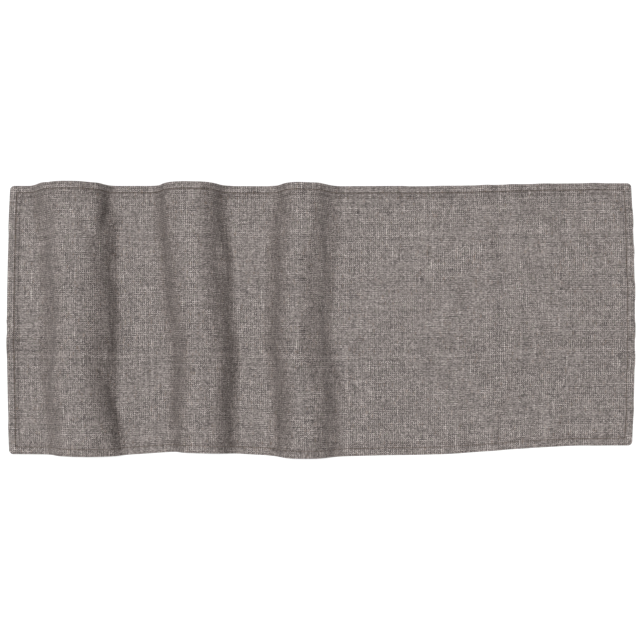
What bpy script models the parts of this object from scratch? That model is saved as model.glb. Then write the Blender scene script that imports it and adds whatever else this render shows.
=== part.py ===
"""A linen-look table runner, laid on a table with three waves across it and its right part flat.

Two layers of one heavy plain-weave cloth are sewn right sides together, turned, pressed and topstitched.
Each piece is first made flat, as on the cutting table: X is the way along the runner from its left end,
Y the way across from its middle, and Z the height in the stack of layers. lay() then puts a flat point
where it lies on the table. The laid frame has +X along the runner, +Y to its back edge and +Z up, with
its origin under the middle of the whole runner. Metres.
"""

import bisect
import collections
import math

import bmesh
import bpy
from mathutils import Vector

# The finished runner, flat
LENGTH = 0.914
WIDTH = 0.356
CORNER_RADIUS = 0.0055

# The cloth, the thread and how they are sewn
CLOTH = 0.00045
THREAD = 0.00025
GAP = 0.0003
SEAM_ALLOWANCE = 0.010
TOPSTITCH_INSET = 0.0095
BORDER = 0.0115
RAMP = 0.0055

# The blank care label, caught by the topstitching at the back edge, under the crest of the first wave
LABEL_WIDTH = 0.030
LABEL_LENGTH = 0.045
LABEL_TUCK = 0.0045
LABEL_TAPE = 0.0002
LABEL_SLACK = 0.0002
STITCH_LEAD = 0.001

# How the runner lies: crest is the way along to the top of a wave at mid-width, height and its growth
# from the front edge to the back one, rise and fall the steepest slope on each side, rise_skew and
# fall_skew how far each bend leans away from the start of its flank (1 is even), and lean how far the
# crest line shifts to the left for each metre towards the back
Wave = collections.namedtuple("Wave", "crest height growth rise fall rise_skew fall_skew lean")
WAVES = (
    Wave(0.108, 0.0395, 0.003, math.radians(55), math.radians(61), 0.72, 1.60, 0.045),
    Wave(0.291, 0.0365, 0.004, math.radians(60), math.radians(58), 1.00, 1.75, 0.045),
    Wave(0.458, 0.0375, -0.002, math.radians(63), math.radians(52), 0.90, 1.15, 0.000),
)

# How much longer the laid middle is than the edges, at each end, and the back edge than the front one
END_BOW = 0.0045
LONG_BACK = 0.009

# How far the back edge and the front one stray towards the back, at some ways along. Between two of
# them the edge runs in a soft S.
Stray = collections.namedtuple("Stray", "along back front")
STRAYS = (
    Stray(0.000, -0.0012, 0.0008),
    Stray(0.160, -0.0012, -0.0006),
    Stray(0.270, -0.0012, 0.0045),
    Stray(0.480, -0.0018, -0.0028),
    Stray(0.620, -0.0012, -0.0002),
    Stray(0.860, 0.0028, 0.0120),
)

# How finely the pieces are divided
WAVE_STEP = 0.011
FLAT_STEP = 0.045
ROW_STEP = 0.046
CORNER_SEGMENTS = 3
FLANK_STEPS = 24

# Heights in the stack of layers, each at the middle of its layer. The border is lifted by one stitch, so
# that the stitching under it clears the table.
LIFT = GAP + THREAD
FOLD_RADIUS = (CLOTH + GAP) / 2
FOLD_INSET = FOLD_RADIUS + CLOTH / 2 * math.sqrt(2)
BACK_MIDDLE = CLOTH / 2
BACK_BORDER = LIFT + CLOTH / 2
FACE_MIDDLE = BACK_MIDDLE + CLOTH + GAP
FACE_BORDER = BACK_BORDER + 3 * (CLOTH + GAP)
SEAM_HEIGHT = (BACK_BORDER + FACE_BORDER) / 2
STITCH_OUT = CLOTH / 2 + GAP + THREAD / 2
GRID_INSET = BORDER + RAMP
GRID_RADIUS = 0.001
INNER_RADIUS = 0.0015
STITCH_RADIUS = 0.002
SAME_PLACE = 1e-6


# --- How the cloth lies ---------------------------------------------------------------------------------

def flank_slope(steepest, skew, share):
    """The slope at this share of a flank, which bends as a springy strip does."""
    return steepest * math.sin(math.pi * share ** skew)


def flank(steepest, skew, share):
    """The way along and up over this share of a flank of length 1."""
    along = 0.0
    up = 0.0
    for step in range(FLANK_STEPS):
        slope = flank_slope(steepest, skew, share * (step + 0.5) / FLANK_STEPS)
        along += math.cos(slope) * share / FLANK_STEPS
        up += math.sin(slope) * share / FLANK_STEPS
    return along, up


def wave_spans(wave, across):
    """The crest of a wave and the lengths of cloth in its two flanks, at this way across."""
    height = wave.height + wave.growth * across / WIDTH
    rise = height / flank(wave.rise, wave.rise_skew, 1)[1]
    fall = height / flank(wave.fall, wave.fall_skew, 1)[1]
    return wave.crest - wave.lean * across, rise, fall


def profile(along, across):
    """The laid way along, the height and the slope of the cloth, from its left end."""
    x = 0.0
    done = 0.0
    for wave in WAVES:
        crest, rise, fall = wave_spans(wave, across)
        x += min(along, crest - rise) - done
        if along <= crest - rise:
            return x, 0.0, 0.0
        share = min((along - crest + rise) / rise, 1)
        on, up = flank(wave.rise, wave.rise_skew, share)
        x += rise * on
        if along <= crest:
            return x, rise * up, flank_slope(wave.rise, wave.rise_skew, share)
        share = min((along - crest) / fall, 1)
        on, down = flank(wave.fall, wave.fall_skew, share)
        x += fall * on
        if along <= crest + fall:
            return x, rise * up - fall * down, -flank_slope(wave.fall, wave.fall_skew, share)
        done = crest + fall
    return x + along - done, 0.0, 0.0


LAID_LENGTH = profile(LENGTH, 0)[0]


def wave_end():
    """The furthest way along that any wave reaches."""
    ends = []
    for across in (-WIDTH / 2, WIDTH / 2):
        crest, rise, fall = wave_spans(WAVES[-1], across)
        ends.append(crest + fall)
    return max(ends)


def spaced(start, end, step):
    """Evenly spaced values from start up to, and not including, end."""
    count = max(math.ceil((end - start) / step), 1)
    return [start + (end - start) * number / count for number in range(count)]


def bend_lines():
    """The ways along at which the laid cloth bends: every piece is flat between two of them."""
    inner_end = LENGTH - GRID_INSET
    waves_end = min(wave_end(), inner_end - FLAT_STEP)
    lines = [0.0]
    lines += spaced(GRID_INSET, waves_end, WAVE_STEP)
    lines += spaced(waves_end, inner_end, FLAT_STEP)
    return lines + [inner_end, LENGTH]


BEND_LINES = bend_lines()


def stray(along, across):
    """How far this place on the cloth strays towards the back."""
    back = STRAYS[0].back
    front = STRAYS[0].front
    for before, after in zip(STRAYS, STRAYS[1:]):
        share = min(max((along - before.along) / (after.along - before.along), 0), 1)
        eased = share * share * (3 - 2 * share)
        back += (after.back - before.back) * eased
        front += (after.front - before.front) * eased
    share = across / WIDTH + 0.5
    return back * share + front * (1 - share)


def lay_on_line(along, across, height):
    """The laid place of a flat point that is on a bend line."""
    x, z, slope = profile(along, across)
    bow = END_BOW * (1 - (2 * across / WIDTH) ** 2)
    whole = LAID_LENGTH + 2 * bow + LONG_BACK * across / WIDTH
    x = (x / profile(LENGTH, across)[0] - 0.5) * whole
    x -= height * math.sin(slope)
    return Vector((x, across + stray(along, across), z + height * math.cos(slope)))


def lay(flat):
    """The laid place of a flat point. Between two bend lines the cloth is straight."""
    along, across, height = flat
    after = min(max(bisect.bisect_right(BEND_LINES, along), 1), len(BEND_LINES) - 1)
    before, after = BEND_LINES[after - 1], BEND_LINES[after]
    share = (along - before) / (after - before)
    first = lay_on_line(before, across, height)
    return first.lerp(lay_on_line(after, across, height), share)


# --- Outlines -------------------------------------------------------------------------------------------

def moved_out(point, inset, radius, new_inset, new_radius):
    """Where a point of one rounded outline goes on another one, for insets from the finished edge."""
    x = point.x - LENGTH / 2
    side_x = math.copysign(1, x)
    side_y = math.copysign(1, point.y)
    corner_x = LENGTH / 2 - inset - radius
    corner_y = WIDTH / 2 - inset - radius
    past_x = abs(x) - corner_x
    past_y = abs(point.y) - corner_y
    if past_x > -SAME_PLACE and past_y > -SAME_PLACE:
        way = Vector((past_x, past_y)).normalized() * new_radius
        new_x = side_x * (LENGTH / 2 - new_inset - new_radius + way.x)
        new_y = side_y * (WIDTH / 2 - new_inset - new_radius + way.y)
    elif past_x > past_y:
        new_x = side_x * (LENGTH / 2 - new_inset)
        new_y = point.y
    else:
        new_x = x
        new_y = side_y * (WIDTH / 2 - new_inset)
    return new_x + LENGTH / 2, new_y


def columns(start, end):
    """The bend lines between two ways along, with the two ends themselves."""
    inside = [line for line in BEND_LINES if start + SAME_PLACE < line < end - SAME_PLACE]
    return [start] + inside + [end]


def flat_grid(ways_along, ways_across):
    """A flat grid with its lines at these places."""
    bm = bmesh.new()
    bmesh.ops.create_grid(bm, x_segments=len(ways_along) - 1, y_segments=len(ways_across) - 1, size=1)
    for vert in bm.verts:
        column = round((vert.co.x + 1) / 2 * (len(ways_along) - 1))
        row = round((vert.co.y + 1) / 2 * (len(ways_across) - 1))
        vert.co = (ways_along[column], ways_across[row], 0)
    return bm


def middle_grid():
    """The flat middle of a panel, inside the border and its ramp, with small rounded corners."""
    half = WIDTH / 2 - GRID_INSET
    rows = spaced(-half, half, ROW_STEP) + [half]
    bm = flat_grid(columns(GRID_INSET, LENGTH - GRID_INSET), rows)
    corners = [vert for vert in bm.verts if len(vert.link_edges) == 2]
    bmesh.ops.bevel(
        bm, geom=corners, offset=GRID_RADIUS, segments=CORNER_SEGMENTS, profile=0.5, affect="VERTICES",
        material=-1,
    )
    return bm


def round_outline(inset, radius, height):
    """The points of a rounded outline in order, each in line with a point of the middle grid's edge."""
    bm = middle_grid()
    start = min((vert for vert in bm.verts if vert.is_boundary), key=lambda vert: (vert.co.y, vert.co.x))
    ring = [start]
    edge = next(edge for edge in start.link_edges if edge.is_boundary)
    while edge.other_vert(ring[-1]) is not start:
        ring.append(edge.other_vert(ring[-1]))
        edge = next(other for other in ring[-1].link_edges if other.is_boundary and other is not edge)
    points = []
    for vert in ring:
        x, y = moved_out(vert.co, GRID_INSET, GRID_RADIUS, inset, radius)
        points.append(Vector((x, y, height)))
    bm.free()
    return points


# --- Pieces ---------------------------------------------------------------------------------------------

def material(name, colour, roughness):
    """A plain Principled BSDF finish."""
    finish = bpy.data.materials.new(name)
    finish.use_nodes = True
    shader = finish.node_tree.nodes["Principled BSDF"]
    shader.inputs["Base Color"].default_value = (*colour, 1)
    shader.inputs["Roughness"].default_value = roughness
    shader.inputs["Metallic"].default_value = 0
    return finish


def add_object(name, data, finish, collection):
    """Puts a piece in the collection, with its finish."""
    piece = bpy.data.objects.new(name, data)
    piece.data.materials.append(finish)
    collection.objects.link(piece)
    return piece


def thicken_and_lay(name, bm, thickness, finish, collection):
    """Gives a flat sheet its thickness, then lays it on the table."""
    sheet = bpy.data.meshes.new(name)
    bmesh.ops.triangulate(bm, faces=bm.faces, quad_method="FIXED")
    bmesh.ops.recalc_face_normals(bm, faces=bm.faces)
    bm.to_mesh(sheet)
    bm.free()
    flat = bpy.data.objects.new(name + "_flat", sheet)
    collection.objects.link(flat)
    wall = flat.modifiers.new("Wall", "SOLIDIFY")
    wall.thickness = thickness
    wall.offset = 0
    wall.use_even_offset = True
    graph = bpy.context.evaluated_depsgraph_get()
    mesh = bpy.data.meshes.new_from_object(flat.evaluated_get(graph))
    bpy.data.objects.remove(flat)
    bpy.data.meshes.remove(sheet)
    mesh.name = name
    for vert in mesh.vertices:
        vert.co = lay(vert.co)
    return add_object(name, mesh, finish, collection)


def make_panel(name, middle, border, turn, finish, collection):
    """One layer of cloth: its middle, the ramp up to its border, and the allowance folded in at the edge.

    turn is 1 where the allowance is folded under the layer, and -1 where it is folded over it.
    """
    bm = middle_grid()
    for vert in bm.verts:
        vert.co.z = middle
    fold = border - turn * FOLD_RADIUS
    rings = (
        (BORDER, INNER_RADIUS, border),
        (FOLD_INSET, CORNER_RADIUS - FOLD_INSET, border),
        (FOLD_INSET - FOLD_RADIUS, CORNER_RADIUS - FOLD_INSET + FOLD_RADIUS, fold),
        (FOLD_INSET, CORNER_RADIUS - FOLD_INSET, fold - turn * FOLD_RADIUS),
        (SEAM_ALLOWANCE, INNER_RADIUS, fold - turn * FOLD_RADIUS),
    )
    inset, radius = GRID_INSET, GRID_RADIUS
    for new_inset, new_radius, height in rings:
        edges = [edge for edge in bm.edges if edge.is_boundary]
        made = bmesh.ops.extrude_edge_only(bm, edges=edges)["geom"]
        for vert in made:
            if isinstance(vert, bmesh.types.BMVert):
                x, y = moved_out(vert.co, inset, radius, new_inset, new_radius)
                vert.co = (x, y, height)
        inset, radius = new_inset, new_radius
    return thicken_and_lay(name, bm, CLOTH, finish, collection)


def make_thread(name, flat_points, finish, collection):
    """A thread that runs right round the runner, through these flat points."""
    curve = bpy.data.curves.new(name, "CURVE")
    curve.dimensions = "3D"
    curve.bevel_depth = THREAD / 2
    curve.bevel_resolution = 0
    spline = curve.splines.new("POLY")
    spline.points.add(len(flat_points) - 1)
    for point, flat in zip(spline.points, flat_points):
        point.co = (*lay(flat), 1)
    spline.use_cyclic_u = True
    return add_object(name, curve, finish, collection)


def label_span():
    """The ways along at which the label starts and ends, centred on the first crest at the back edge."""
    crest = wave_spans(WAVES[0], WIDTH / 2)[0]
    return crest - LABEL_WIDTH / 2, crest + LABEL_WIDTH / 2


def make_label(finish, collection):
    """A blank tape label that lies against the underside, its upper end under the topstitching."""
    border_height = LIFT - GAP - LABEL_TAPE / 2
    middle_height = -GAP - LABEL_SLACK - LABEL_TAPE / 2
    insets = (LABEL_TUCK + LABEL_LENGTH, GRID_INSET, BORDER, LABEL_TUCK)
    bm = flat_grid(columns(*label_span()), [WIDTH / 2 - inset for inset in insets])
    for vert in bm.verts:
        in_border = WIDTH / 2 - vert.co.y < (BORDER + GRID_INSET) / 2
        vert.co.z = border_height if in_border else middle_height
    return thicken_and_lay("care_label", bm, LABEL_TAPE, finish, collection)


def under_label(points):
    """The points of the stitching under the runner, led below the label where it crosses it."""
    start, end = label_span()
    start -= STITCH_LEAD
    end += STITCH_LEAD
    led = []
    for point, after in zip(points, points[1:] + points[:1]):
        led.append(point.copy())
        if point.y > 0 and after.y > 0:
            places = sorted((start, end), key=lambda place: abs(place - point.x))
            for place in places:
                if min(point.x, after.x) < place < max(point.x, after.x):
                    led.append(Vector((place, point.y, point.z)))
    for point in led:
        if point.y > 0 and start - SAME_PLACE <= point.x <= end + SAME_PLACE:
            point.z -= LABEL_TAPE + GAP
    return led


def build():
    """Makes every piece of the runner."""
    for obj in list(bpy.data.objects):
        bpy.data.objects.remove(obj)
    collection = bpy.data.collections.new("table_runner")
    bpy.context.scene.collection.children.link(collection)

    cloth = material("linen_look_plain_weave", (0.23, 0.20, 0.19), 0.9)
    lining = material("linen_look_plain_weave_back", (0.21, 0.18, 0.17), 0.9)
    topstitch = material("tan_topstitch_thread", (0.20, 0.15, 0.11), 0.7)
    seam = material("grey_seam_thread", (0.19, 0.17, 0.16), 0.7)
    satin = material("satin_label_tape", (0.72, 0.71, 0.68), 0.5)

    make_panel("face_panel", FACE_MIDDLE, FACE_BORDER, 1, cloth, collection)
    make_panel("back_panel", BACK_MIDDLE, BACK_BORDER, -1, lining, collection)

    seam_inset = CLOTH + GAP - math.sqrt(2) * (THREAD / 2 + GAP)
    seam_line = round_outline(seam_inset, CORNER_RADIUS - seam_inset, SEAM_HEIGHT)
    make_thread("seam_thread", seam_line, seam, collection)

    over = round_outline(TOPSTITCH_INSET, STITCH_RADIUS, FACE_BORDER + STITCH_OUT)
    make_thread("topstitch_needle_thread", over, topstitch, collection)
    under = round_outline(TOPSTITCH_INSET, STITCH_RADIUS, BACK_BORDER - STITCH_OUT)
    make_thread("topstitch_bobbin_thread", under_label(under), topstitch, collection)

    make_label(satin, collection)


build()
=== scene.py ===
# %% [markdown]
# # A linen-look table runner
#
# Two layers of one grey-taupe cloth, sewn, turned and topstitched, lie on a white table. The left part
# is pushed up into three waves and the right part lies flat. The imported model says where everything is.
# This script makes the fine surface: cloth that buckles beside its stitching, the weave, and every stitch.

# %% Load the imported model
import collections
import math
import random

import bmesh
import bpy
import numpy as np
from mathutils import Matrix, Vector, noise


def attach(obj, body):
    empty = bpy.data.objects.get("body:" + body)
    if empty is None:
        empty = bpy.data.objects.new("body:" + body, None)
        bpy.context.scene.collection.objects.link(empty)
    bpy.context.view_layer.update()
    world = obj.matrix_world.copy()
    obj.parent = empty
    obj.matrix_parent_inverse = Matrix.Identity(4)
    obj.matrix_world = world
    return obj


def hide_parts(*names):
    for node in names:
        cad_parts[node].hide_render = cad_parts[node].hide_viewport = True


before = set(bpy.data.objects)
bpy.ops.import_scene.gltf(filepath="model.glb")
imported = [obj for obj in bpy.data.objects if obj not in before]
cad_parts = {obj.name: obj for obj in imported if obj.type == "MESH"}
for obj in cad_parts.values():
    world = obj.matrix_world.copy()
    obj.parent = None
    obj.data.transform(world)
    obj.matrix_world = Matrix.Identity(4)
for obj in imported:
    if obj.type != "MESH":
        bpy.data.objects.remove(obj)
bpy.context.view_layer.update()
print("nodes", sorted(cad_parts))

# %% [markdown]
# ## The camera
#
# The runner is seen from almost straight above, as from a stand over a table, with the camera leaning back
# a little from its front edge. The view is as wide as the laid runner and a narrow margin.

# %% Camera
VIEW_HEIGHT = 1.36
VIEW_TILT = math.radians(3.2)
VIEW_WIDTH = 0.8442
AIM = Vector((-0.0013, -0.0013, 0.003))

camera_data = bpy.data.cameras.new("camera")
camera_data.sensor_fit = "HORIZONTAL"
camera_data.lens = camera_data.sensor_width * VIEW_HEIGHT / VIEW_WIDTH
camera = bpy.data.objects.new("camera", camera_data)
camera.location = AIM + Vector((0, -math.sin(VIEW_TILT), math.cos(VIEW_TILT))) * VIEW_HEIGHT
camera.rotation_euler = (VIEW_TILT, 0, 0)
bpy.context.scene.collection.objects.link(camera)
bpy.context.scene.camera = camera
print("lens", round(camera_data.lens, 1), "mm")

# %% [markdown]
# ## Light
#
# One large soft lamp stands a long way off, high over the runner and a little to its left, so that both
# sides of each wave are darker than the flat cloth and the right side is the darkest. It is far enough
# away to light both ends alike, as a sun lamp with a wide disc does. A faint white world stands for the
# room. The Standard view shows each colour as it is.

# %% Lamp and world
LAMP_LEAN = math.radians(8)
LAMP_DISC = math.radians(20)
LAMP_POWER = 3.65
WORLD_STRENGTH = 0.01

lamp_data = bpy.data.lights.new("soft_lamp", "SUN")
lamp_data.angle = LAMP_DISC
lamp_data.energy = LAMP_POWER
lamp = bpy.data.objects.new("soft_lamp", lamp_data)
lamp.rotation_euler = (0, -LAMP_LEAN, 0)
lamp.location = (-math.sin(LAMP_LEAN), 0, math.cos(LAMP_LEAN))
bpy.context.scene.collection.objects.link(lamp)

world = bpy.data.worlds.new("studio")
bpy.context.scene.world = world
world.use_nodes = True
world.node_tree.nodes["Background"].inputs["Color"].default_value = (1, 1, 1, 1)
world.node_tree.nodes["Background"].inputs["Strength"].default_value = WORLD_STRENGTH
bpy.context.scene.view_settings.view_transform = "Standard"
print("lamp leans", round(math.degrees(LAMP_LEAN), 1), "degrees")

# %% [markdown]
# ## How the cloth lies
#
# A strip of cloth that is pushed together bends like a spring: its slope swings from level to steepest and
# back as a sine of the length of cloth. Each wave has two such flanks. Working with the length of cloth,
# and not with the laid distance, keeps the runner as long as it was cut, and it gives the weave its place.
#
# Every piece is made flat first: X is the way along from the left end, Y the way across from the middle,
# and Z the height in the stack of layers. lay() then puts its points where they lie on the table.

# %% Sizes, as in the model
LENGTH = 0.914
WIDTH = 0.356
CORNER_RADIUS = 0.0055
CLOTH = 0.00045
THREAD = 0.00025
GAP = 0.0003
SEAM_ALLOWANCE = 0.010
TOPSTITCH_INSET = 0.0095
BORDER = 0.0115
RAMP = 0.0055
GRID_INSET = BORDER + RAMP
GRID_RADIUS = 0.001
LIFT = GAP + THREAD
FOLD_RADIUS = (CLOTH + GAP) / 2
BACK_MIDDLE = CLOTH / 2
BACK_BORDER = LIFT + CLOTH / 2
FACE_MIDDLE = BACK_MIDDLE + CLOTH + GAP
FACE_BORDER = BACK_BORDER + 3 * (CLOTH + GAP)

Wave = collections.namedtuple("Wave", "crest height growth rise fall rise_skew fall_skew lean")
WAVES = (
    Wave(0.108, 0.0395, 0.003, math.radians(55), math.radians(61), 0.72, 1.60, 0.045),
    Wave(0.291, 0.0365, 0.004, math.radians(60), math.radians(58), 1.00, 1.75, 0.045),
    Wave(0.458, 0.0375, -0.002, math.radians(63), math.radians(52), 0.90, 1.15, 0.000),
)
END_BOW = 0.0045
LONG_BACK = 0.009
Stray = collections.namedtuple("Stray", "along back front")
STRAYS = (
    Stray(0.000, -0.0012, 0.0008),
    Stray(0.160, -0.0012, -0.0006),
    Stray(0.270, -0.0012, 0.0045),
    Stray(0.480, -0.0018, -0.0028),
    Stray(0.620, -0.0012, -0.0002),
    Stray(0.860, 0.0028, 0.0120),
)

# %% The bend of one flank, as a table
SHARES = np.linspace(0, 1, 241)


def flank(steepest, skew):
    """The way along, the way up and the slope at each share of a flank of length 1."""
    slope = steepest * np.sin(np.pi * SHARES ** skew)
    ways = []
    for part in (np.cos(slope), np.sin(slope)):
        steps = (part[1:] + part[:-1]) / 2 * SHARES[1]
        ways.append(np.concatenate([[0], np.cumsum(steps)]))
    return *ways, slope


FLANKS = [(flank(wave.rise, wave.rise_skew), flank(wave.fall, wave.fall_skew)) for wave in WAVES]
print("waves", len(WAVES))

# %% [markdown]
# No crest runs quite straight. Each one wanders a few millimetres, by two slow swings across the runner.

# %% How a crest wanders
Swing = collections.namedtuple("Swing", "size pace start")
WANDERS = (Swing(0.0030, 21.0, 0.4), Swing(0.0016, 47.0, 1.9))
NEXT_WAVE = 2.1


def crest_wander(number, across):
    """How far the crest of this wave strays along the runner. Each wave starts its swings elsewhere."""
    shift = np.zeros_like(across)
    for swing in WANDERS:
        shift += swing.size * np.sin(swing.pace * across + swing.start + NEXT_WAVE * number)
    return shift


# %% From the flat cloth to the table
def profile(along, across):
    """The laid way along, the height and the slope of the cloth."""
    x = np.zeros_like(along)
    z = np.zeros_like(along)
    slope = np.zeros_like(along)
    done = np.zeros_like(along)
    for number, (wave, (up_flank, down_flank)) in enumerate(zip(WAVES, FLANKS)):
        height = wave.height + wave.growth * across / WIDTH
        crest = wave.crest - wave.lean * across + crest_wander(number, across)
        rise = height / up_flank[1][-1]
        fall = height / down_flank[1][-1]
        x += np.clip(along, done, crest - rise) - done
        sides = ((crest - rise, rise, up_flank, 1), (crest, fall, down_flank, -1))
        for start, length, table, way in sides:
            share = np.clip((along - start) / length, 0, 1)
            x += length * np.interp(share, SHARES, table[0])
            z += way * length * np.interp(share, SHARES, table[1])
            slope += way * np.interp(share, SHARES, table[2])
        done = crest + fall
    return x + np.maximum(along - done, 0), z, slope


LAID_LENGTH = profile(np.array([LENGTH]), np.array([0.0]))[0][0]
print("laid length", round(LAID_LENGTH, 4), "m")


def stray(along, across):
    """How far the cloth strays towards the back."""
    back = np.full_like(along, STRAYS[0].back)
    front = np.full_like(along, STRAYS[0].front)
    for before, after in zip(STRAYS, STRAYS[1:]):
        share = np.clip((along - before.along) / (after.along - before.along), 0, 1)
        eased = share * share * (3 - 2 * share)
        back += (after.back - before.back) * eased
        front += (after.front - before.front) * eased
    share = across / WIDTH + 0.5
    return back * share + front * (1 - share)


def lay_smooth(flat):
    """Where flat points lie, before the cloth buckles. flat is an array of rows (along, across, height)."""
    along, across, height = flat.T
    x, z, slope = profile(along, across)
    whole = LAID_LENGTH + 2 * END_BOW * (1 - (2 * across / WIDTH) ** 2) + LONG_BACK * across / WIDTH
    x = (x / profile(np.full_like(along, LENGTH), across)[0] - 0.5) * whole
    y = across + stray(along, across)
    return np.stack([x - height * np.sin(slope), y, z + height * np.cos(slope)], axis=1)


# %% [markdown]
# ## The cloth buckles beside its stitching
#
# A line of stitching always ends up a little shorter than the cloth that it holds, so the hem is drawn in
# and the cloth beside it rises in soft buckles. A short cloth simulation does that: it starts from the
# laid surface, its border shrinks, and weak pins hold the waves where they are. Only the part of each
# point's movement that stands out of the cloth is kept, capped and never below the table, so the outline
# stays where it was laid. Every piece is then moved by it.

# %% A coarse sheet for the simulation
SIM_STEP = 0.0055
SIM_FRAMES = 18
SHRINK = 0.022
BUCKLE_CAP = 0.0025
START_NOISE = 0.0005
NOISE_PACE = 45
DRAWN_WIDTH = 0.010
DRAWN_REACH = 1.6
HOLD = 0.035
SIM_COLUMNS = round(LENGTH / SIM_STEP) + 1
SIM_ROWS = round(WIDTH / SIM_STEP) + 1


def sim_sheet():
    """A flat grid as big as the runner, and its points in row order."""
    bm = bmesh.new()
    bmesh.ops.create_grid(bm, x_segments=SIM_COLUMNS - 1, y_segments=SIM_ROWS - 1, size=0.5)
    bm.verts.sort(key=lambda vert: round((vert.co.y + 0.5) * (SIM_ROWS - 1)) * 2 + vert.co.x)
    mesh = bpy.data.meshes.new("sim_sheet")
    bm.to_mesh(mesh)
    bm.free()
    flat = np.zeros(len(mesh.vertices) * 3)
    mesh.vertices.foreach_get("co", flat)
    flat = flat.reshape(-1, 3)
    flat[:, 0] = (flat[:, 0] + 0.5) * LENGTH
    flat[:, 1] *= WIDTH
    flat[:, 2] = FACE_MIDDLE
    return mesh, flat


def edge_inset(flat):
    """How far in from the nearest finished edge each flat point is."""
    ends = np.minimum(flat[:, 0], LENGTH - flat[:, 0])
    sides = np.minimum(flat[:, 1] + WIDTH / 2, WIDTH / 2 - flat[:, 1])
    return np.minimum(ends, sides)


# %% The cloth that the sheet is made of
def add_cloth(sheet):
    """Light cloth that gives a little along its yarns and bends softly. It shrinks where it is drawn in."""
    cloth = sheet.modifiers.new("Cloth", "CLOTH")
    settings = cloth.settings
    settings.quality = 5
    settings.mass = 0.25
    settings.tension_stiffness = 20
    settings.compression_stiffness = 20
    settings.shear_stiffness = 8
    settings.bending_stiffness = 0.6
    settings.vertex_group_shrink = "drawn_in"
    settings.shrink_min = 0
    settings.shrink_max = SHRINK
    settings.vertex_group_mass = "held"
    settings.pin_stiffness = 1
    settings.effector_weights.gravity = 0
    cloth.collision_settings.use_collision = False
    cloth.collision_settings.use_self_collision = False
    cloth.point_cache.frame_start = 1
    cloth.point_cache.frame_end = SIM_FRAMES


# %% Run it
def buckled():
    """How far the simulation moves each point of the coarse sheet out of its surface."""
    mesh, flat = sim_sheet()
    start = lay_smooth(flat)
    for row, place in zip(start, flat):
        row[2] += START_NOISE * noise.noise(Vector(place) * NOISE_PACE)
    mesh.vertices.foreach_set("co", start.ravel())
    sheet = bpy.data.objects.new("sim_sheet", mesh)
    bpy.context.scene.collection.objects.link(sheet)

    inset = edge_inset(flat)
    drawn_in = sheet.vertex_groups.new(name="drawn_in")
    held = sheet.vertex_groups.new(name="held")
    for number, place in enumerate(inset):
        drawn_in.add([number], float(np.clip(DRAWN_REACH - place / DRAWN_WIDTH, 0, 1)), "REPLACE")
        held.add([number], HOLD, "REPLACE")

    add_cloth(sheet)
    for number in range(1, SIM_FRAMES + 1):
        bpy.context.scene.frame_set(number)
    graph = bpy.context.evaluated_depsgraph_get()
    end = np.zeros(len(mesh.vertices) * 3)
    sheet.evaluated_get(graph).data.vertices.foreach_get("co", end)
    bpy.context.scene.frame_set(1)
    bpy.data.objects.remove(sheet)
    bpy.data.meshes.remove(mesh)
    slope = profile(flat[:, 0], flat[:, 1])[2]
    outwards = np.stack([-np.sin(slope), np.zeros_like(slope), np.cos(slope)], axis=1)
    return outwards * ((end.reshape(-1, 3) - start) * outwards).sum(axis=1, keepdims=True)


move = np.zeros((SIM_ROWS, SIM_COLUMNS, 3))
move = buckled().reshape(SIM_ROWS, SIM_COLUMNS, 3)
size = np.linalg.norm(move, axis=2, keepdims=True)
print("buckles, largest", round(size.max() * 1000, 2), "mm")
move *= np.minimum(1, BUCKLE_CAP / np.maximum(size, 1e-9))

# %% [markdown]
# A few soft creases are left over from the way the cloth was pushed: a forked one at the back of the
# first wave's right side, one that runs out at its foot, others along the feet of the waves, and faint
# ones on the flat part. Each is a straight soft ridge or hollow between two places on the flat cloth, and
# it fades out towards both.

# %% Creases, listed
Crease = collections.namedtuple("Crease", "start end width depth")
CREASES = (
    Crease((0.112, 0.150), (0.138, 0.098), 0.0075, -0.0030),
    Crease((0.166, 0.158), (0.142, 0.098), 0.0070, -0.0026),
    Crease((0.136, 0.155), (0.140, 0.118), 0.0080, 0.0016),
    Crease((0.150, -0.060), (0.196, -0.160), 0.0090, -0.0030),
    Crease((0.190, -0.080), (0.205, -0.150), 0.0110, 0.0012),
    Crease((0.020, -0.055), (0.030, -0.092), 0.0035, -0.0010),
    Crease((0.046, 0.060), (0.050, -0.020), 0.0060, -0.0012),
    Crease((0.322, 0.120), (0.340, 0.030), 0.0080, -0.0020),
    Crease((0.330, -0.040), (0.322, -0.130), 0.0080, 0.0016),
    Crease((0.500, 0.140), (0.520, 0.060), 0.0090, -0.0014),
    Crease((0.505, -0.070), (0.540, -0.150), 0.0090, -0.0016),
    Crease((0.600, 0.090), (0.700, 0.020), 0.0160, 0.0011),
    Crease((0.640, -0.090), (0.760, -0.120), 0.0180, 0.0010),
    Crease((0.048, 0.130), (0.050, -0.130), 0.0130, 0.0030),
    Crease((0.158, 0.080), (0.163, -0.130), 0.0120, 0.0030),
    Crease((0.346, 0.130), (0.342, 0.000), 0.0110, 0.0026),
    Crease((0.790, 0.110), (0.850, 0.030), 0.0150, 0.0012),
    Crease((0.820, -0.030), (0.880, -0.080), 0.0120, 0.0009),
)
CREASE_END = 0.05


def crease_depth(along, across):
    """How far the creases raise or sink the cloth."""
    depth = np.zeros_like(along)
    for crease in CREASES:
        start, end = np.array(crease.start), np.array(crease.end)
        way = end - start
        share = ((along - start[0]) * way[0] + (across - start[1]) * way[1]) / (way @ way)
        on_line = np.clip(share, 0, 1)
        apart = np.hypot(along - start[0] - on_line * way[0], across - start[1] - on_line * way[1])
        fade = np.sin(np.pi * (on_line * (1 - 2 * CREASE_END) + CREASE_END))
        depth += crease.depth * fade * np.exp(-((apart / crease.width) ** 2))
    return depth


print("creases", len(CREASES))


# %% Lay a point on the buckled cloth
LAST_CELL = 1.001


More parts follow.
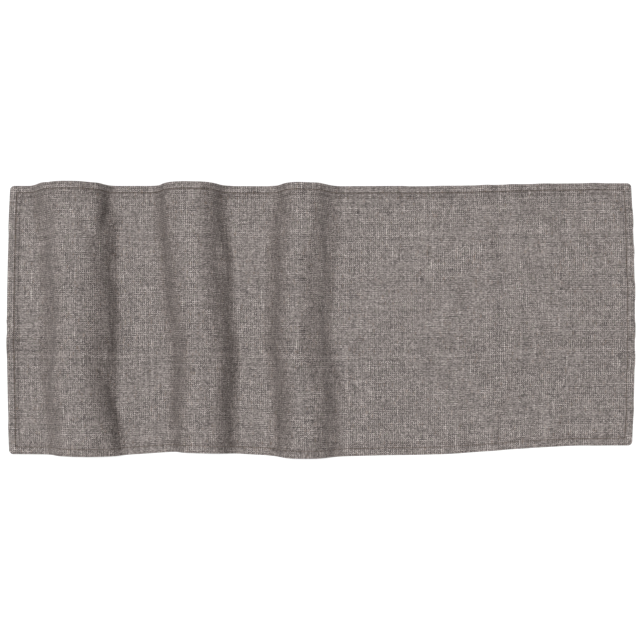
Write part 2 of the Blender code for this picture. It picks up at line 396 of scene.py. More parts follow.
def buckle_at(flat):
    """The buckle at each flat point, between the four points of the coarse sheet round it."""
    column = np.clip(flat[:, 0] / LENGTH * (SIM_COLUMNS - 1), 0, SIM_COLUMNS - LAST_CELL)
    row = np.clip((flat[:, 1] / WIDTH + 0.5) * (SIM_ROWS - 1), 0, SIM_ROWS - LAST_CELL)
    left, low = column.astype(int), row.astype(int)
    over, up = (column - left)[:, None], (row - low)[:, None]
    front = move[low, left] * (1 - over) + move[low, left + 1] * over
    back = move[low + 1, left] * (1 - over) + move[low + 1, left + 1] * over
    return front * (1 - up) + back * up


def lay(flat):
    """Where flat points lie on the table, with the cloth's creases and buckles."""
    creased = flat.copy()
    creased[:, 2] += crease_depth(flat[:, 0], flat[:, 1])
    place = lay_smooth(creased) + buckle_at(flat)
    place[:, 2] = np.maximum(place[:, 2], flat[:, 2])
    return place


def lay_mesh(mesh):
    """Moves every vertex of a flat mesh to where it lies on the table."""
    flat = np.zeros(len(mesh.vertices) * 3)
    mesh.vertices.foreach_get("co", flat)
    mesh.vertices.foreach_set("co", lay(flat.reshape(-1, 3)).ravel())
    mesh.update()


# %% [markdown]
# ## The two panels
#
# Each panel is one sheet of cloth: its flat middle, the ramp up to the four-layer border, the groove that
# the stitching presses into it, the puffed strip outside the stitching, and the folded edge with its
# allowance turned in. A fine grid is the middle, and each further ring is extruded from its boundary.

# %% The grid and its rounded corners
CORNER_SEGMENTS = 5


def middle_grid(step):
    """The flat middle of a panel, with its lines about one step apart and its corners rounded."""
    half = Vector((LENGTH / 2 - GRID_INSET, WIDTH / 2 - GRID_INSET))
    bm = bmesh.new()
    columns, rows = round(2 * half.x / step), round(2 * half.y / step)
    bmesh.ops.create_grid(bm, x_segments=columns, y_segments=rows, size=1)
    bmesh.ops.scale(bm, vec=(half.x, half.y, 1), verts=bm.verts)
    bmesh.ops.translate(bm, vec=(LENGTH / 2, 0, 0), verts=bm.verts)
    corners = [vert for vert in bm.verts if len(vert.link_edges) == 2]
    bmesh.ops.bevel(
        bm, geom=corners, offset=GRID_RADIUS, segments=CORNER_SEGMENTS, profile=0.5, affect="VERTICES",
        material=-1,
    )
    return bm


def moved_out(point, inset, radius, new_inset, new_radius):
    """Where a point of one rounded outline goes on another one, for insets from the finished edge."""
    x = point.x - LENGTH / 2
    side = Vector((math.copysign(1, x), math.copysign(1, point.y)))
    past = Vector((abs(x) - LENGTH / 2, abs(point.y) - WIDTH / 2)) + Vector((inset + radius,) * 2)
    if past.x > -radius / 100 and past.y > -radius / 100:
        reach = past.normalized() * new_radius - Vector((new_inset + new_radius,) * 2)
        return side.x * (LENGTH / 2 + reach.x) + LENGTH / 2, side.y * (WIDTH / 2 + reach.y)
    if past.x > past.y:
        return side.x * (LENGTH / 2 - new_inset) + LENGTH / 2, point.y
    return point.x, side.y * (WIDTH / 2 - new_inset)


# %% [markdown]
# The rings follow from a cross-section of the hem. Under the stitching all four layers are pressed
# together: the face sinks by the whole groove, its allowance by two thirds, the back's allowance by one
# third and the back not at all. Outside the stitching the layers spring apart again.

# %% The cross-section of the hem
GROOVE_DEPTH = 0.00085
GROOVE_WIDTH = 0.0011
PUFF = 0.00025
HEM_INSETS = (
    0.0160, 0.0150, 0.0139, 0.0128, 0.0119, 0.0112, 0.0106, 0.0101, 0.0097, 0.0093, 0.0088, 0.0082,
    0.0073, 0.0060, 0.0045, 0.0030, 0.0018,
)
ALLOWANCE_INSETS = (0.002, 0.005, 0.0078, 0.0090, 0.0097, SEAM_ALLOWANCE)
FOLD_SEGMENTS = 6
INNER_RADIUS = 0.0015


def groove(inset):
    """How deep the stitching presses here, from 0 to 1."""
    return math.exp(-(((inset - TOPSTITCH_INSET) / GROOVE_WIDTH) ** 2))


def hem_height(inset, middle, border, sink):
    """The height of a layer at this inset: ramp, border, groove and puff."""
    share = min(max((inset - BORDER) / RAMP, 0), 1)
    ramp = share * share * (3 - 2 * share)
    puff = PUFF * math.sin(math.pi * min(max(inset / TOPSTITCH_INSET, 0), 1))
    return border + (middle - border) * ramp + (puff - GROOVE_DEPTH * groove(inset)) * sink


def hem_rings(middle, border, turn, layer_sink, allowance_sink):
    """(inset, corner radius, height) of each ring, from the ramp to the end of the allowance."""
    rings = []
    for inset in HEM_INSETS:
        radius = max(CORNER_RADIUS - inset, INNER_RADIUS)
        rings.append((inset, radius, hem_height(inset, middle, border, layer_sink)))
    fold_inset = FOLD_RADIUS + CLOTH / 2
    for number in range(FOLD_SEGMENTS + 1):
        angle = math.pi * number / FOLD_SEGMENTS
        inset = fold_inset - FOLD_RADIUS * math.sin(angle)
        height = border - turn * FOLD_RADIUS * (1 - math.cos(angle))
        rings.append((inset, CORNER_RADIUS - inset, height))
    for inset in ALLOWANCE_INSETS:
        height = border - turn * 2 * FOLD_RADIUS
        height -= GROOVE_DEPTH * groove(inset) * allowance_sink
        rings.append((inset, max(CORNER_RADIUS - inset, INNER_RADIUS), height))
    return rings


# %% Build a panel
def finish_sheet(name, bm, thickness):
    """Gives a flat sheet its weave map and its thickness, lays it, and returns its object."""
    bmesh.ops.recalc_face_normals(bm, faces=bm.faces)
    if sum(face.normal.z for face in bm.faces) < 0:
        bmesh.ops.reverse_faces(bm, faces=bm.faces)
    weave_map = bm.loops.layers.uv.new("cloth")
    for face in bm.faces:
        for loop in face.loops:
            loop[weave_map].uv = loop.vert.co.xy
    flat_mesh = bpy.data.meshes.new(name + "_flat")
    bm.to_mesh(flat_mesh)
    bm.free()
    flat = bpy.data.objects.new(name + "_flat", flat_mesh)
    bpy.context.scene.collection.objects.link(flat)
    wall = flat.modifiers.new("Wall", "SOLIDIFY")
    wall.thickness = thickness
    wall.offset = 0
    wall.use_even_offset = True
    graph = bpy.context.evaluated_depsgraph_get()
    mesh = bpy.data.meshes.new_from_object(flat.evaluated_get(graph))
    bpy.data.objects.remove(flat)
    bpy.data.meshes.remove(flat_mesh)
    mesh.name = name
    lay_mesh(mesh)
    mesh.shade_smooth()
    piece = bpy.data.objects.new(name, mesh)
    bpy.context.scene.collection.objects.link(piece)
    print(name, len(mesh.polygons), "faces")
    return piece


def make_panel(name, step, middle, border, turn, layer_sink, allowance_sink):
    """One layer of cloth. turn is 1 where its allowance is folded under it, and -1 where it lies over it."""
    bm = middle_grid(step)
    for vert in bm.verts:
        vert.co.z = middle
    inset, radius = GRID_INSET, GRID_RADIUS
    for new_inset, new_radius, height in hem_rings(middle, border, turn, layer_sink, allowance_sink):
        edges = [edge for edge in bm.edges if edge.is_boundary]
        made = bmesh.ops.extrude_edge_only(bm, edges=edges)["geom"]
        for vert in made:
            if isinstance(vert, bmesh.types.BMVert):
                x, y = moved_out(vert.co, inset, radius, new_inset, new_radius)
                vert.co = (x, y, height)
        inset, radius = new_inset, new_radius
    return finish_sheet(name, bm, CLOTH)


FACE_STEP = 0.0042
BACK_STEP = 0.0052
face = make_panel("face_cloth", FACE_STEP, FACE_MIDDLE, FACE_BORDER, 1, 1, 2 / 3)
back = make_panel("back_cloth", BACK_STEP, BACK_MIDDLE, BACK_BORDER, -1, 0, 1 / 3)

# %% [markdown]
# ## Stitches
#
# The topstitching is a lockstitch, about 3 mm long. On top each stitch is a short length of thread that
# comes up from one needle hole and goes down into the next, so it looks like a grain of rice lying in the
# groove. Real thread is too fine to show from this far, so it is drawn 0.65 mm thick. The seam inside shows
# only as short ladder steps between the two folded edges.

# %% One stitch, many times
STITCH_PITCH = 0.003
STITCH_THICKNESS = THREAD * 2.6
STITCH_SHARES = (0.84, 0.94)
STITCH_ASIDE = 0.00012
STITCH_LEAN = 0.05
STITCH_SIDES = 6
STITCH_RINGS = 6


def side_runs(inset):
    """The four straight runs of a line of stitching: start, end, in order round the runner."""
    left, right = inset, LENGTH - inset
    low, high = inset - WIDTH / 2, WIDTH / 2 - inset
    corners = [Vector((left, low)), Vector((right, low)), Vector((right, high)), Vector((left, high))]
    return list(zip(corners, corners[1:] + corners[:1]))


def stitch_pattern():
    """One stitch of length 2 and thickness 2, along Z."""
    bm = bmesh.new()
    bm.loops.layers.uv.new("thread")
    bmesh.ops.create_uvsphere(
        bm, u_segments=STITCH_SIDES, v_segments=STITCH_RINGS, radius=1, calc_uvs=True,
    )
    mesh = bpy.data.meshes.new("stitch_pattern")
    bm.to_mesh(mesh)
    bm.free()
    return mesh


STITCH = stitch_pattern()


def add_stitch(bm, middle, way, length, thickness):
    """Adds one stitch: a slim ellipsoid with its long axis along way."""
    turn = way.to_track_quat("Z", "Y").to_matrix().to_4x4()
    shape = Matrix.Diagonal((thickness / 2, thickness / 2, length / 2, 1))
    place = Matrix.Translation(middle) @ turn @ shape
    STITCH.transform(place)
    bm.from_mesh(STITCH)
    STITCH.transform(place.inverted())


def finish_stitches(name, bm):
    """Lays a set of stitches on the cloth and returns their object."""
    mesh = bpy.data.meshes.new(name)
    bm.to_mesh(mesh)
    bm.free()
    lay_mesh(mesh)
    mesh.shade_smooth()
    piece = bpy.data.objects.new(name, mesh)
    bpy.context.scene.collection.objects.link(piece)
    print(name, len(mesh.polygons), "faces")
    return piece


def make_topstitch(name, height, seed, drop=None):
    """The stitches of one side of the topstitching, with the small unevenness of real sewing."""
    draw = random.Random(seed)
    bm = bmesh.new()
    bm.loops.layers.uv.new("thread")
    for start, end in side_runs(TOPSTITCH_INSET):
        count = round((end - start).length / STITCH_PITCH)
        pitch = (end - start).length / count
        way = (end - start).normalized()
        for number in range(count):
            middle = start + way * pitch * (number + 0.5)
            across = Vector((-way.y, way.x)) * draw.uniform(-STITCH_ASIDE, STITCH_ASIDE)
            lean = draw.uniform(-STITCH_LEAN, STITCH_LEAN)
            direction = Vector((way.x - way.y * lean, way.y + way.x * lean, 0))
            level = height + (drop(middle) if drop else 0)
            place = Vector((*(middle + across), level))
            add_stitch(bm, place, direction, pitch * draw.uniform(*STITCH_SHARES), STITCH_THICKNESS)
    return finish_stitches(name, bm)


# %% The topstitching on top
FACE_PROUD = THREAD * 0.45
FACE_STITCH = FACE_BORDER - GROOVE_DEPTH + CLOTH / 2 + FACE_PROUD
top_stitches = make_topstitch("topstitch_top", FACE_STITCH, seed=7)

# %% The same line underneath, led over the label
LABEL_WIDTH = 0.030
LABEL_LENGTH = 0.045
LABEL_TUCK = 0.0045
LABEL_TAPE = 0.0002
LABEL_SLACK = 0.0002
LABEL_CREST = WAVES[0].crest - WAVES[0].lean * WIDTH / 2


def label_drop(point):
    """How far the stitching goes down to pass under the label."""
    on_label = abs(point.x - LABEL_CREST) < LABEL_WIDTH / 2 and point.y > 0
    return -(LABEL_TAPE + GAP / 2) if on_label else 0


UNDER_PROUD = THREAD * 0.3
UNDER_STITCH = BACK_BORDER - CLOTH / 2 - UNDER_PROUD
under_stitches = make_topstitch("topstitch_under", UNDER_STITCH, seed=11, drop=label_drop)

# %% The ladder of the seam, in the crook between the two folds
LADDER_PITCH = 0.0025
LADDER_LENGTH = 0.0010
LADDER_THICKNESS = THREAD * 0.9
LADDER_LEAN = 0.35
LADDER_SEED = 3
LADDER_INSET = 0.00022
LADDER_HEIGHT = (BACK_BORDER + FACE_BORDER) / 2


def make_ladder():
    """Short upright stitches between the two folded edges, all round but for the rounded corners."""
    draw = random.Random(LADDER_SEED)
    bm = bmesh.new()
    bm.loops.layers.uv.new("thread")
    for start, end in side_runs(LADDER_INSET):
        way = (end - start).normalized()
        start, end = start + way * CORNER_RADIUS, end - way * CORNER_RADIUS
        count = round((end - start).length / LADDER_PITCH)
        for number in range(count):
            middle = start.lerp(end, (number + 0.5) / count)
            direction = Vector((*(way * draw.uniform(-LADDER_LEAN, LADDER_LEAN)), 1))
            place = Vector((*middle, LADDER_HEIGHT))
            add_stitch(bm, place, direction, LADDER_LENGTH, LADDER_THICKNESS)
    return finish_stitches("seam_ladder", bm)


ladder = make_ladder()

# %% [markdown]
# ## The label
#
# A blank satin tape, hot-cut to length. Its upper end is caught by the stitching at the back edge, and the
# rest hangs free under the first wave with a slight curl, stronger at one corner than at the other.

# %% Build the label
LABEL_CURL = 0.0016
CURL_START = 0.35
CURL_MIDDLE = 0.7
CURL_TWIST = 0.6
LABEL_COLUMNS = 20
LABEL_ROWS = 30


def make_label():
    """The label, from its tucked end to its free end."""
    bm = bmesh.new()
    bmesh.ops.create_grid(bm, x_segments=LABEL_COLUMNS, y_segments=LABEL_ROWS, size=0.5)
    for vert in bm.verts:
        share = 0.5 - vert.co.y
        inset = LABEL_TUCK + LABEL_LENGTH * share
        border = 1 - min(max((inset - BORDER) / RAMP, 0), 1)
        height = -GAP - LABEL_TAPE / 2 + LIFT * border - LABEL_SLACK * (1 - border)
        free = max(share - CURL_START, 0) / (1 - CURL_START)
        height -= LABEL_CURL * free * free * (CURL_MIDDLE + CURL_TWIST * vert.co.x)
        vert.co = (LABEL_CREST + LABEL_WIDTH * vert.co.x, WIDTH / 2 - inset, height)
    return finish_sheet("blank_label", bm, LABEL_TAPE)


label = make_label()

# %% [markdown]
# ## Materials
#
# One small function adds a node with its settings and links, and one turns a colour written as on a paint
# card into the light that it stands for.

# %% Helpers for the materials
def linear(card):
    """A colour such as "837b77" as linear red, green, blue and alpha."""
    parts = [int(card[start:start + 2], 16) / 255 for start in (0, 2, 4)]
    return (*[p / 12.92 if p <= 0.04045 else ((p + 0.055) / 1.055) ** 2.4 for p in parts], 1)


def add_node(tree, kind, inputs=(), **settings):
    """Adds a node and returns its outputs. inputs holds values and links, in order or by socket."""
    node = tree.nodes.new("ShaderNode" + kind)
    for key, value in settings.items():
        setattr(node, key, value)
    sockets = inputs if isinstance(inputs, dict) else dict(enumerate(inputs))
    for socket, value in sockets.items():
        if isinstance(value, bpy.types.NodeSocket):
            tree.links.new(value, node.inputs[socket])
        else:
            node.inputs[socket].default_value = value
    return node.outputs


def new_material(name):
    """An empty Principled material: its tree and its shader."""
    material = bpy.data.materials.new(name)
    material.use_nodes = True
    return material, material.node_tree, material.node_tree.nodes["Principled BSDF"]


# %% [markdown]
# The runner lies on white laminated board. A low wall of the same board stands all round, six metres away,
# so that a view from the side has a pale background as well. Laminate is pressed smooth with a matt skin,
# and this one is as pale as board gets.

# %% The table: white laminate
def white_laminate():
    """Matt white laminated board."""
    material, _, shader = new_material("matt_white_laminated_board")
    shader.inputs["Base Color"].default_value = linear("f3f3f3")
    shader.inputs["Roughness"].default_value = 0.8
    shader.inputs["Specular IOR Level"].default_value = 0.2
    return material


# %% Lay the table, with a low pale wall all round it
TABLE_RADIUS = 6.0
TABLE_SEGMENTS = 96
TABLE_DROP = 0.0002
WALL_HEIGHT = 2.2
WALL_FOOT = 0.01


def stage_piece(name, make, height, laminate, **sizes):
    """Makes a piece of the stage by one bmesh operator and faces it with the laminate."""
    bm = bmesh.new()
    make(bm, segments=TABLE_SEGMENTS, **sizes)
    mesh = bpy.data.meshes.new(name)
    bm.to_mesh(mesh)
    bm.free()
    mesh.shade_smooth()
    mesh.materials.append(laminate)
    piece = bpy.data.objects.new(name, mesh)
    piece.location.z = height
    bpy.context.scene.collection.objects.link(piece)


board = white_laminate()
stage_piece("table", bmesh.ops.create_circle, -TABLE_DROP, board, cap_ends=True, radius=TABLE_RADIUS)
stage_piece(
    "low_wall", bmesh.ops.create_cone, WALL_HEIGHT / 2, board, cap_ends=False, radius1=TABLE_RADIUS,
    radius2=TABLE_RADIUS, depth=WALL_HEIGHT + WALL_FOOT,
)
print("table", 2 * TABLE_RADIUS, "m wide")

# %% [markdown]
# The cloth is a plain weave of heathered yarn: fibres of several greys and browns are mixed before they
# are spun, and the yarn has slubs, thick soft places, as linen has. So the eye sees a grain of small
# crossings that each have their own tone, pale and dark streaks one yarn wide that run along a yarn, the
# strongest along the weft, and a few coloured flecks. Heavy linen-look cloth has about 8 yarns to the
# centimetre, and that is drawn at its true size, on the flat cloth's own map. The warp is drawn two yarns
# to a dent of the reed and the weft comes from two cones in turn, so every second yarn is a shade darker.
# Where the stitching presses the layers together, a thin line of the cloth is painted darker: painted shade
# of the groove and of the thread's shadow. Single fibres are far too fine to show, so their fuzz is drawn
# about half a millimetre across.

# %% Where the yarns run and which one is on top
WARP_PITCH = 0.00124
WEFT_PITCH = 0.00132
WANDER = 0.0001
WANDER_SCALE = 60.0


def yarns(tree, along, across, flat):
    """The number of the warp yarn and of the weft yarn here, and how high each stands."""
    bend = add_node(tree, "TexNoise", {"Vector": flat, "Scale": WANDER_SCALE, "Detail": 1.0})["Fac"]
    numbers, rounds = [], []
    for place, pitch, sign in ((across, WARP_PITCH, 1), (along, WEFT_PITCH, -1)):
        bent = add_node(tree, "Math", (bend, sign * WANDER, place), operation="MULTIPLY_ADD")[0]
        count = add_node(tree, "Math", (bent, pitch), operation="DIVIDE")[0]
        turn = add_node(tree, "Math", (count, math.pi), operation="MULTIPLY")[0]
        wave = add_node(tree, "Math", (turn,), operation="SINE")[0]
        numbers.append(add_node(tree, "Math", (count,), operation="FLOOR")[0])
        rounds.append(add_node(tree, "Math", (wave,), operation="ABSOLUTE")[0])
    both = add_node(tree, "Math", numbers, operation="ADD")[0]
    odd = add_node(tree, "Math", (both, 1.0), operation="PINGPONG")[0]
    over = add_node(tree, "Math", (odd, 2.0, -1.0), operation="MULTIPLY_ADD")[0]
    highs = []
    for own, other, way in ((rounds[0], rounds[1], 0.5), (rounds[1], rounds[0], -0.5)):
        pushed = add_node(tree, "Math", (other, over), operation="MULTIPLY")[0]
        lift = add_node(tree, "Math", (pushed, way, 0.5), operation="MULTIPLY_ADD")[0]
        highs.append(add_node(tree, "Math", (own, lift), operation="MULTIPLY")[0])
    return numbers, highs


# %% The tone of a yarn
YARN_SHADE = 0.14
YARN_APART = 7.37
PALE_SCALE = 1.0
PALE_LIMIT = 0.58
DARK_SCALE = 1.4
DARK_LIMIT = 0.60
DARK_STRENGTH = 1.8
DARK_SHIFT = 50


def slub(tree, place, scale, limit, strength):
    """0 on plain yarn, and more where the noise passes the limit."""
    thick = add_node(tree, "TexNoise", {"Vector": place, "Scale": scale, "Detail": 1.0})["Fac"]
    past = add_node(tree, "Math", (thick, limit), operation="SUBTRACT")[0]
    strong = add_node(tree, "Math", (past, strength), operation="MULTIPLY")[0]
    return add_node(tree, "Math", (strong, 0.0), operation="MAXIMUM")[0]


def yarn_tone(tree, run, number, length, shift, strength):
    """The tone of a yarn along its run: its own shade, and pale and dark slubs of about this length."""
    seed = add_node(tree, "CombineXYZ", (number, shift, shift))[0]
    shade = add_node(tree, "TexWhiteNoise", {"Vector": seed})["Value"]
    share = add_node(tree, "Math", (run, 1 / length), operation="MULTIPLY")[0]
    row = add_node(tree, "Math", (number, YARN_APART), operation="MULTIPLY")[0]
    pale_place = add_node(tree, "CombineXYZ", (share, row, shift))[0]
    dark_place = add_node(tree, "CombineXYZ", (share, row, shift + DARK_SHIFT))[0]
    pale = slub(tree, pale_place, PALE_SCALE, PALE_LIMIT, strength)
    dark = slub(tree, dark_place, DARK_SCALE, DARK_LIMIT, DARK_STRENGTH)
    slubs = add_node(tree, "Math", (pale, dark), operation="SUBTRACT")[0]
    tone = add_node(tree, "Math", (slubs, YARN_SHADE / 2), operation="SUBTRACT")[0]
    return add_node(tree, "Math", (shade, YARN_SHADE, tone), operation="MULTIPLY_ADD")[0]


# %% The tone of the whole weave
GRAIN = 0.34
CHECK = 0.16
PAIRS = 0.13
MOTTLE = 0.10
MOTTLE_SCALE = 40.0
FIBRE = 0.4
MIDDLE_TONE = 0.5
CROSSING_SEED = 9.0
WARP_SLUB = 0.018
WEFT_SLUB = 0.026


def weave_tone(tree, flat, along, across, warp, weft, warp_on_top, fibre):
    """Dark to pale, from 0 to 1: the yarn on top, each crossing's own grain, and everything slower."""
    warp_tone = yarn_tone(tree, along, warp, WARP_SLUB, shift=3.0, strength=1.0)
    weft_tone = yarn_tone(tree, across, weft, WEFT_SLUB, shift=31.0, strength=1.8)
    tone = add_node(tree, "Mix", {0: warp_on_top, 2: weft_tone, 3: warp_tone}, data_type="FLOAT")[0]
    crossing = add_node(tree, "CombineXYZ", (warp, weft, CROSSING_SEED))[0]
    grain = add_node(tree, "TexWhiteNoise", {"Vector": crossing})["Value"]
    mottle = add_node(tree, "TexNoise", {"Vector": flat, "Scale": MOTTLE_SCALE, "Detail": 2.0})["Fac"]
    second_warp = add_node(tree, "Math", (warp, 1.0), operation="PINGPONG")[0]
    second_weft = add_node(tree, "Math", (weft, 1.0), operation="PINGPONG")[0]
    parts = (
        (grain, GRAIN, 0.0),
        (mottle, MOTTLE, 0.0),
        (warp_on_top, CHECK, 0.0),
        (second_warp, PAIRS, 0.0),
        (second_weft, PAIRS, 0.0),
        (fibre, FIBRE, MIDDLE_TONE),
    )
    for part, size, middle in parts:
        swing = add_node(tree, "Math", (part, size, middle - size / 2), operation="MULTIPLY_ADD")[0]
        tone = add_node(tree, "Math", (tone, swing), operation="ADD")[0]
    return tone


# %% The colours that the tone picks, and the flecks
Fleck = collections.namedtuple("Fleck", "card limit shift")
FLECK_LENGTH = 0.004
FLECK_SHARE = 0.22


def toned(tree, tone, tones):
    """The colour for a tone, on a ramp through these colours."""
    colour = add_node(tree, "ValToRGB", (tone,))[0]
    elements = colour.node.color_ramp.elements
    elements[0].position = tones[0][0]
    elements[0].color = linear(tones[0][1])
    elements[1].position = tones[-1][0]
    elements[1].color = linear(tones[-1][1])
    for place, card in tones[1:-1]:
        elements.new(place).color = linear(card)
    return colour


def flecked(tree, colour, across, weft, flecks):
    """The colour with short flecks of other fibres along some weft yarns."""
    run = add_node(tree, "Math", (across, 1 / FLECK_LENGTH), operation="MULTIPLY")[0]
    step = add_node(tree, "Math", (run,), operation="FLOOR")[0]
    for fleck in flecks:
        seed = add_node(tree, "CombineXYZ", (step, weft, fleck.shift))[0]
        speck = add_node(tree, "TexWhiteNoise", {"Vector": seed})["Value"]
        found = add_node(tree, "Math", (speck, fleck.limit), operation="GREATER_THAN")[0]
        amount = add_node(tree, "Math", (found, FLECK_SHARE), operation="MULTIPLY")[0]
        colour = add_node(tree, "Mix", {0: amount, 6: colour, 7: linear(fleck.card)}, data_type="RGBA")[2]
    return colour


# %% The painted shade along the stitching's groove
GROOVE_SHADE_WIDTH = 0.0012
GROOVE_SHADE_DEPTH = 0.45
GROOVE_SHADE_SCALE = 150.0
UNEVEN = 2.0
UNEVEN_FROM = -0.3


def painted_groove_shade(tree, flat, along, across):
    """1 on most of the cloth, and unevenly less on the thin line that the stitching presses: painted shade
    of the groove.
    """
    far_end = add_node(tree, "Math", (LENGTH, along), operation="SUBTRACT")[0]
    from_end = add_node(tree, "Math", (along, far_end), operation="MINIMUM")[0]
    from_middle = add_node(tree, "Math", (across,), operation="ABSOLUTE")[0]
    from_side = add_node(tree, "Math", (WIDTH / 2, from_middle), operation="SUBTRACT")[0]
    inset = add_node(tree, "Math", (from_end, from_side), operation="MINIMUM")[0]
    off_line = add_node(tree, "Math", (inset, TOPSTITCH_INSET), operation="SUBTRACT")[0]
    apart = add_node(tree, "Math", (off_line,), operation="ABSOLUTE")[0]
    falling = add_node(tree, "Math", (apart, -1 / GROOVE_SHADE_WIDTH, 1.0), operation="MULTIPLY_ADD")[0]
    share = add_node(tree, "Math", (falling, 0.0), operation="MAXIMUM")[0]
    patchy = add_node(tree, "TexNoise", {"Vector": flat, "Scale": GROOVE_SHADE_SCALE, "Detail": 2.0})["Fac"]
    uneven = add_node(tree, "Math", (patchy, UNEVEN, UNEVEN_FROM), operation="MULTIPLY_ADD")[0]
    groove_shade = add_node(tree, "Math", (share, uneven), operation="MULTIPLY")[0]
    return add_node(tree, "Math", (groove_shade, -GROOVE_SHADE_DEPTH, 1.0), operation="MULTIPLY_ADD")[0]


# %% The finished cloth
FIBRE_SCALE = 2200.0
FIBRE_RELIEF = 0.4
HOLLOW_SHADE = 0.60
CREST_LIGHT = 0.55


def cloth_material(name, tones, flecks):
    """Heathered plain-weave cloth, with its pattern on the flat cloth's own map."""
    material, tree, shader = new_material(name)
    flat = add_node(tree, "UVMap", uv_map="cloth")[0]
    along, across, _ = add_node(tree, "SeparateXYZ", (flat,))
    (warp, weft), (warp_high, weft_high) = yarns(tree, along, across, flat)
    warp_on_top = add_node(tree, "Math", (warp_high, weft_high), operation="GREATER_THAN")[0]
    height = add_node(tree, "Math", (warp_high, weft_high), operation="MAXIMUM")[0]
    fibre = add_node(tree, "TexNoise", {"Vector": flat, "Scale": FIBRE_SCALE, "Detail": 2.0})["Fac"]

    tone = weave_tone(tree, flat, along, across, warp, weft, warp_on_top, fibre)
    colour = flecked(tree, toned(tree, tone, tones), across, weft, flecks)
    # Painted shade and light: the colour is darker in the hollows between the yarns and lighter on their
    # crests.
    light = add_node(tree, "Math", (height, CREST_LIGHT, HOLLOW_SHADE), operation="MULTIPLY_ADD")[0]
    # Painted shade: a thin darker line of the cloth where the stitching's groove and thread lie.
    groove_shade = painted_groove_shade(tree, flat, along, across)
    shade = add_node(tree, "Math", (light, groove_shade), operation="MULTIPLY")[0]
    shaded = add_node(tree, "VectorMath", {0: colour, "Scale": shade}, operation="SCALE")[0]
    tree.links.new(shaded, shader.inputs["Base Color"])

    relief = add_node(tree, "Math", (fibre, FIBRE_RELIEF, height), operation="MULTIPLY_ADD")[0]
    bump = add_node(tree, "Bump", {"Height": relief, "Strength": 0.5, "Distance": 0.0003})[0]
    tree.links.new(bump, shader.inputs["Normal"])
    shader.inputs["Roughness"].default_value = 0.66
    shader.inputs["Specular IOR Level"].default_value = 0.5
    return material


TAUPE = ((0.08, "262120"), (0.30, "4b4341"), (0.50, "756d69"), (0.70, "9e9490"), (0.95, "cfc6c1"))
FLECKS = (Fleck("7c806c", 0.975, 1.0), Fleck("84664a", 0.98, 2.0))
cloth_finish = cloth_material("heathered_linen_look_weave", TAUPE, FLECKS)
face.data.materials.append(cloth_finish)
back.data.materials.append(cloth_finish)
print("weave", round(0.01 / WARP_PITCH, 1), "x", round(0.01 / WEFT_PITCH, 1), "yarns to the centimetre")

# %% [markdown]
# The thread is spun polyester, twisted from two plies, so fine diagonal ridges run round it. Its colour is
# painted darker in the hollows between the ridges and lighter on them, as painted shade and light.

# %% The thread, with its turns of twist along each stitch
PLY_TURNS = 5.0
PLY_STARTS = 2.0


def thread_material(name, card, light_card):
    """Spun two-ply thread, with painted shade in the hollows of its twist."""
    material, tree, shader = new_material(name)
    around = add_node(tree, "UVMap", uv_map="thread")[0]
    turn, along, _ = add_node(tree, "SeparateXYZ", (around,))
    start = add_node(tree, "Math", (turn, PLY_STARTS), operation="MULTIPLY")[0]
    twist = add_node(tree, "Math", (along, PLY_TURNS, start), operation="MULTIPLY_ADD")[0]
    angle = add_node(tree, "Math", (twist, 2 * math.pi), operation="MULTIPLY")[0]
    wave = add_node(tree, "Math", (angle,), operation="SINE")[0]
    ply = add_node(tree, "Math", (wave, 0.5, 0.5), operation="MULTIPLY_ADD")[0]
    # Painted shade and light: the colour goes darker in the hollows between the plies and lighter on their
    # ridges.
    colour = add_node(tree, "Mix", {0: ply, 6: linear(card), 7: linear(light_card)}, data_type="RGBA")[2]
    tree.links.new(colour, shader.inputs["Base Color"])
    bump = add_node(tree, "Bump", {"Height": ply, "Strength": 0.6, "Distance": 0.00006})[0]
    tree.links.new(bump, shader.inputs["Normal"])
    shader.inputs["Roughness"].default_value = 0.65
    shader.inputs["Sheen Weight"].default_value = 0.1
    return material


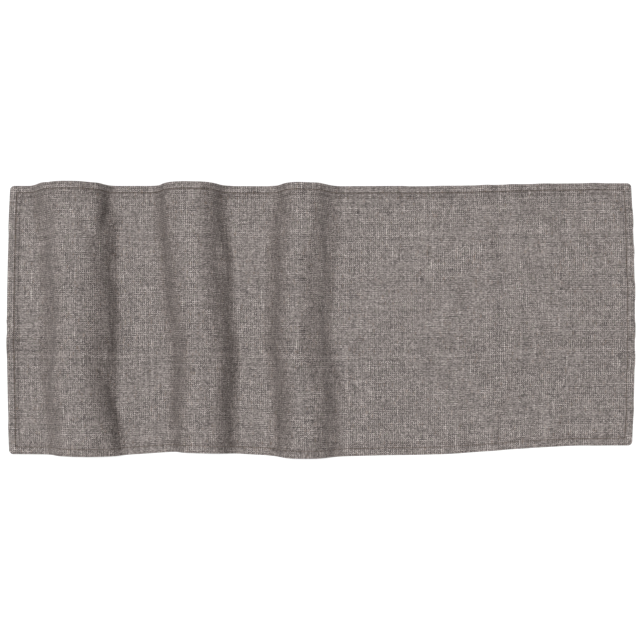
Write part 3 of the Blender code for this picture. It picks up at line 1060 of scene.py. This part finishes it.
topstitch_finish = thread_material("tan_spun_polyester_thread", "3d3128", "6e5a45")
seam_finish = thread_material("grey_spun_polyester_thread", "5f5955", "857d78")
top_stitches.data.materials.append(topstitch_finish)
under_stitches.data.materials.append(topstitch_finish)
ladder.data.materials.append(seam_finish)
print("threads", topstitch_finish.name, seam_finish.name)

# %% [markdown]
# The label is woven satin tape, off-white and blank. Its weft floats make fine ribs across the tape, one
# every half millimetre, and give it a soft gloss.

# %% The label tape: woven satin
RIB_PITCH = 0.0005
TAPE_MOTTLE_SCALE = 600.0


def satin_tape():
    """Off-white woven satin: fine ribs across the tape and a soft gloss."""
    material, tree, shader = new_material("off_white_woven_satin_tape")
    flat = add_node(tree, "UVMap", uv_map="cloth")[0]
    across = add_node(tree, "SeparateXYZ", (flat,))[1]
    angle = add_node(tree, "Math", (across, 2 * math.pi / RIB_PITCH), operation="MULTIPLY")[0]
    rib = add_node(tree, "Math", (angle,), operation="SINE")[0]
    mottle = add_node(tree, "TexNoise", {"Vector": flat, "Scale": TAPE_MOTTLE_SCALE, "Detail": 2.0})["Fac"]
    inputs = {0: mottle, 6: linear("d9d6cf"), 7: linear("efede8")}
    colour = add_node(tree, "Mix", inputs, data_type="RGBA")[2]
    tree.links.new(colour, shader.inputs["Base Color"])
    bump = add_node(tree, "Bump", {"Height": rib, "Strength": 0.4, "Distance": 0.00005})[0]
    tree.links.new(bump, shader.inputs["Normal"])
    shader.inputs["Roughness"].default_value = 0.38
    shader.inputs["Sheen Weight"].default_value = 0.2
    return material


label.data.materials.append(satin_tape())
print("label", label.data.materials[0].name)

# %% [markdown]
# ## Hand the pieces over
#
# The row has one body, root. Each piece is hung on it, and the part of the model that it stands for is
# hidden. Each row also names a finish slot, which nothing reads.

# %% Which piece stands for what
for piece, node, slot in (
    (face, "face_panel", "face_cloth"),
    (back, "back_panel", "back_cloth"),
    (top_stitches, "topstitch_needle_thread", "topstitch_thread"),
    (under_stitches, "topstitch_bobbin_thread", "topstitch_thread"),
    (ladder, "seam_thread", "seam_thread"),
    (label, "care_label", "label_tape"),
):
    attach(piece, "root")
    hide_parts(node)
